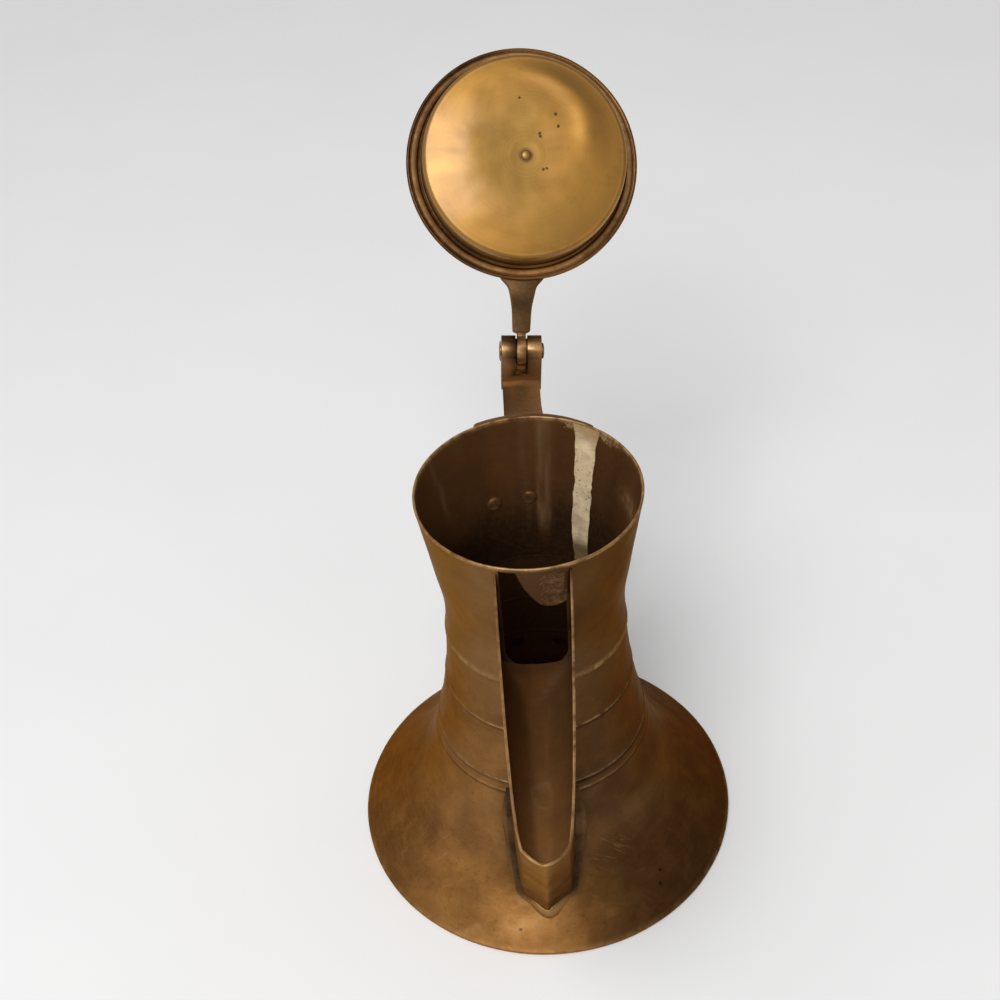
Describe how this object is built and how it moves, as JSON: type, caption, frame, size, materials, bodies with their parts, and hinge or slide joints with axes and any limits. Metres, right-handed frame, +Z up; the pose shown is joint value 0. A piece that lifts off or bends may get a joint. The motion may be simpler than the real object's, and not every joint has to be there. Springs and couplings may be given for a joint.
{
  "type": "dallah coffee pot",
  "caption": "Brass coffee pot with a flared bell body, a long open beak spout, a C handle at the back and a domed lid with a finial that swings open on a pinned fork hinge.",
  "frame": {"origin": "centre of the round base's underside, which the pot stands on", "axes": "+Z up along the pot's axis, -Y towards the spout, +Y towards the handle and the lid's hinge, X across"},
  "size_m": [0.1694, 0.3225, 0.3051],
  "materials": {
    "patinated_brass": "worn patina, satin",
    "dull_brass": "dull, stained",
    "polished_brass": "rubbed bright, soft gloss",
    "cast_brass": "cast, filed, dark patina",
    "rivet_brass": "hammered, worn",
    "tin_solder": "matte grey, pitted"
  },
  "bodies": {
    "pot": {"base_plate": "dull_brass", "base_solder": "tin_solder", "body_shell": "patinated_brass", "foot_rivet_left": "rivet_brass", "foot_rivet_right": "rivet_brass", "handle": "cast_brass", "handle_foot_plate": "cast_brass", "handle_top_plate": "cast_brass", "hinge_bracket": "cast_brass", "hinge_pin": "polished_brass", "neck": "patinated_brass", "neck_strap": "cast_brass", "seam_solder": "tin_solder", "spout_floor": "dull_brass", "spout_shell": "patinated_brass", "spout_solder": "tin_solder", "top_rivet_centre": "rivet_brass", "top_rivet_side": "rivet_brass"},
    "lid": {"lid_dome": "patinated_brass", "lid_plug": "polished_brass", "finial_collar": "cast_brass", "finial": "polished_brass", "lid_arm": "cast_brass"}
  },
  "joints": [
    {"name": "lid_hinge", "type": "hinge", "parent": "pot", "child": "lid", "pos_m": [0, 0.0765, 0.2031], "axis": [0.9978, 0, -0.0663], "range_deg": [0, 132]}
  ]
}
